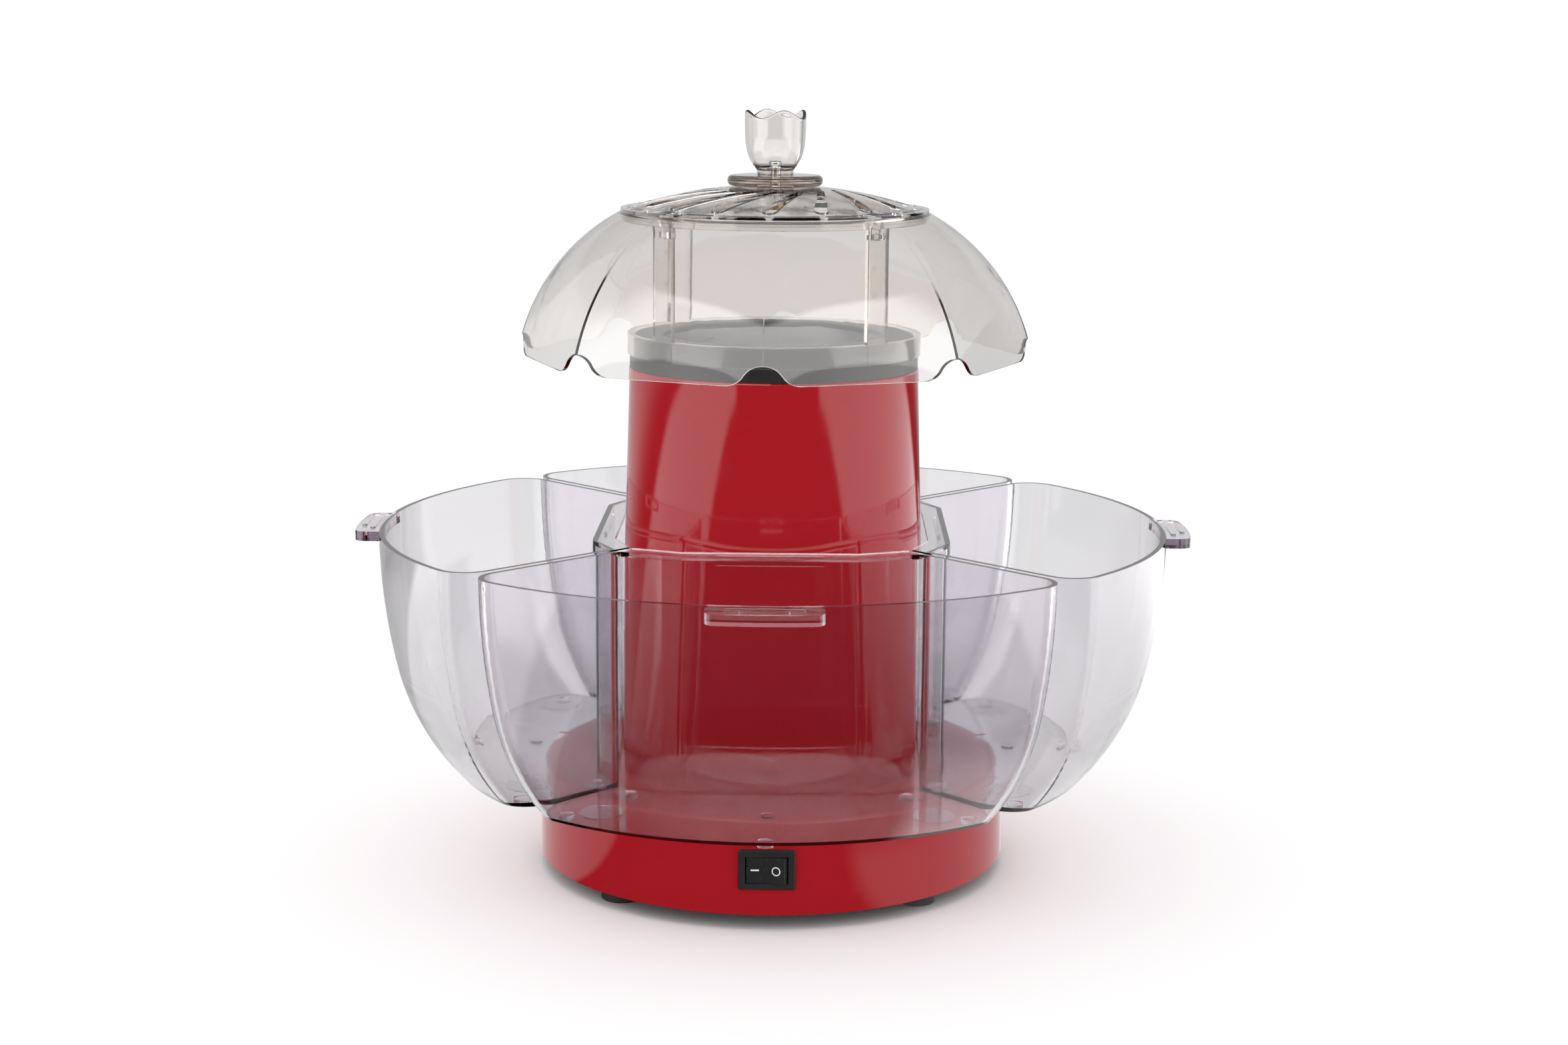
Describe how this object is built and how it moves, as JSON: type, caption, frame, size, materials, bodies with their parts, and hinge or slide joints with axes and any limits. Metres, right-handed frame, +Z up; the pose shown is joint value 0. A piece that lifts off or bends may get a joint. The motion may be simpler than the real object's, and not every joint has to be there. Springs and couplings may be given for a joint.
{
  "type": "popcorn maker",
  "caption": "Hot-air popcorn maker: red round base and column, clear umbrella lid with tulip knob, four clear wedge bowls that pull out, rocker switch, fan and heater inside.",
  "frame": {"origin": "on the axis of the machine, in the plane that the feet stand on", "axes": "+Z up along the axis, front with the switch towards -Y, +X to the right seen from the front"},
  "size_m": [0.327, 0.327, 0.2977],
  "materials": {
    "red_shell": "glossy moulded ABS",
    "black_collar": "satin heat-resistant plastic",
    "black_cover": "fine textured plastic",
    "foot_rubber": "matt rubber",
    "screw_steel": "zinc plated",
    "chamber_aluminium": "drawn and satin anodised",
    "shield_steel": "galvanised sheet",
    "mica": "pressed mica card",
    "heater_wire": "oxidised resistance wire",
    "housing_plastic": "glass-filled nylon",
    "fan_plastic": "natural nylon",
    "motor_steel": "plated can",
    "thermostat_body": "phenolic and plated tabs",
    "fuse_metal": "drawn can",
    "circuit_board": "solder-masked laminate",
    "terminal_nylon": "white nylon",
    "wire_sleeve": "glass-fibre sleeving",
    "switch_black": "fine matt nylon",
    "rocker_black": "satin nylon",
    "mark_white": "printed ink",
    "terminal_brass": "plated brass",
    "lid_clear": "clear polycarbonate, faint warm grey",
    "bowl_clear": "clear polystyrene, faint cool grey"
  },
  "bodies": {
    "root": {"base_shell": "red_shell", "base_plate": "black_cover", "base_screws": "screw_steel", "column_shell": "red_shell", "column_screws": "screw_steel", "chamber_collar": "black_collar", "cord_inlet": "foot_rubber", "popping_chamber": "chamber_aluminium", "heat_shield": "shield_steel", "heater_frame": "mica", "heater_coil": "heater_wire", "fan_housing": "housing_plastic", "housing_screws": "screw_steel", "motor_bracket": "shield_steel", "motor_can": "motor_steel", "motor_screws": "screw_steel", "thermostat": "thermostat_body", "thermal_fuse": "fuse_metal", "rectifier_board": "circuit_board", "terminal_block": "terminal_nylon", "wiring": "wire_sleeve", "switch_frame": "switch_black", "switch_terminals": "terminal_brass", "foot_back_right": "foot_rubber", "foot_back_left": "foot_rubber", "foot_front_left": "foot_rubber", "foot_front_right": "foot_rubber"},
    "fan": {"motor_shaft": "screw_steel", "fan_impeller": "fan_plastic"},
    "rocker_key": {"rocker": "rocker_black", "rocker_marks": "mark_white"},
    "lid": {"lid_frame": "lid_clear", "hood": "lid_clear", "vent_cap": "lid_clear", "knob_disc": "lid_clear", "knob_cup": "lid_clear", "knob_screw": "screw_steel", "knob_nut": "terminal_brass"},
    "front_bowl": {"bowl_front": "bowl_clear"},
    "right_bowl": {"bowl_right": "bowl_clear"},
    "back_bowl": {"bowl_back": "bowl_clear"},
    "left_bowl": {"bowl_left": "bowl_clear"}
  },
  "joints": [
    {"name": "fan_spin", "type": "hinge", "parent": "root", "child": "fan", "pos_m": [0, 0, 0.066], "axis": [0, 0, 1], "continuous": true},
    {"name": "rocker_tip", "type": "hinge", "parent": "root", "child": "rocker_key", "pos_m": [0, -0.0911, 0.0235], "axis": [0, 0, 1], "range_deg": [0, 20]},
    {"name": "lid_lift", "type": "slide", "parent": "root", "child": "lid", "axis": [0, 0, 1], "range_m": [0, 0.12]},
    {"name": "front_bowl_pull", "type": "slide", "parent": "root", "child": "front_bowl", "axis": [0, -1, 0], "range_m": [0, 0.1]},
    {"name": "right_bowl_pull", "type": "slide", "parent": "root", "child": "right_bowl", "axis": [1, 0, 0], "range_m": [0, 0.1]},
    {"name": "back_bowl_pull", "type": "slide", "parent": "root", "child": "back_bowl", "axis": [0, 1, 0], "range_m": [0, 0.1]},
    {"name": "left_bowl_pull", "type": "slide", "parent": "root", "child": "left_bowl", "axis": [-1, 0, 0], "range_m": [0, 0.1]}
  ]
}
